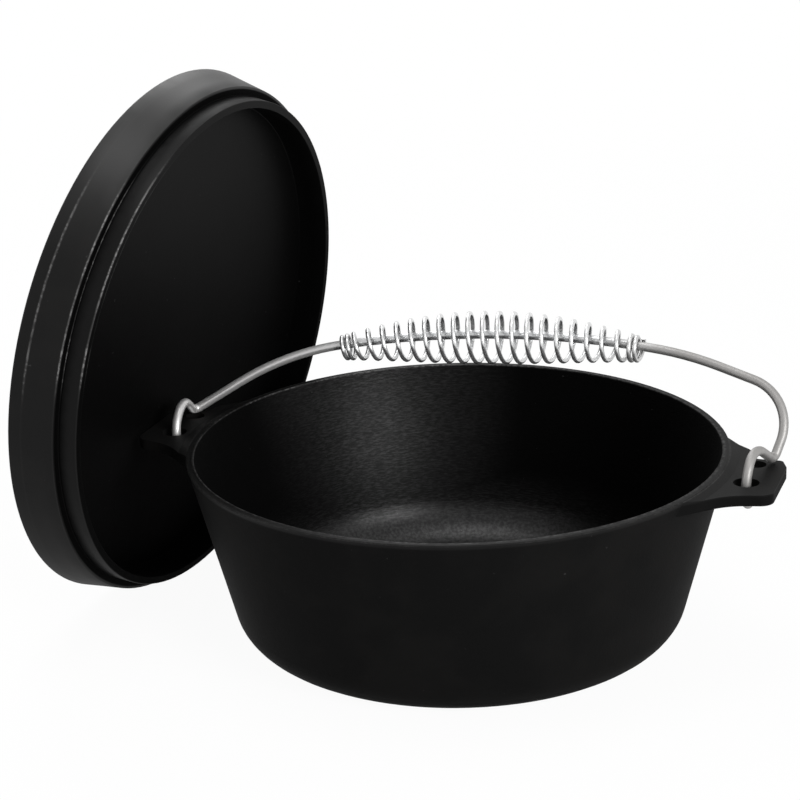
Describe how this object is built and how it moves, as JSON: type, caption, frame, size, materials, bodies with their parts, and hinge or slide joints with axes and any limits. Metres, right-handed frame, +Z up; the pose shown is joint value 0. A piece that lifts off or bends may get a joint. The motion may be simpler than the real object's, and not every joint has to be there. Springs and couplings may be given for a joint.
{
  "type": "camp dutch oven",
  "caption": "Flat-bottomed cast iron camp oven with pierced ears, a wire bail with a coiled grip, and a lid with a coal rim standing on edge beside it.",
  "frame": {"origin": "centre of the pot's flat base, on the floor", "axes": "+Z up along the pot's axis, X through the two ears, the resting bail leans towards +Y"},
  "size_m": [0.4053, 0.335, 0.3091],
  "materials": {
    "iron": "seasoned black, satin, fine cast grain",
    "zinc_wire": "zinc plated, dull",
    "coil_wire": "zinc plated, satin"
  },
  "bodies": {
    "pot_body": {"pot": "iron"},
    "bail_body": {"bail_wire": "zinc_wire"},
    "grip_body": {"coil_grip": "coil_wire"},
    "lid_body": {"lid": "iron"}
  },
  "joints": [
    {"name": "bail_swing", "type": "hinge", "parent": "pot_body", "child": "bail_body", "pos_m": [0, 0, 0.1047], "axis": [1, 0, 0], "range_deg": [0, 100]},
    {"name": "grip_turn", "type": "hinge", "parent": "bail_body", "child": "grip_body", "pos_m": [0.0045, 0.04978, 0.15082], "axis": [0.9973, 0.0527, 0.0509], "range_deg": [0, 40]},
    {"name": "lid_lift", "type": "slide", "parent": "pot_body", "child": "lid_body", "axis": [-0.6453, 0.073, 0.7604], "range_m": [0, 0.2]}
  ]
}
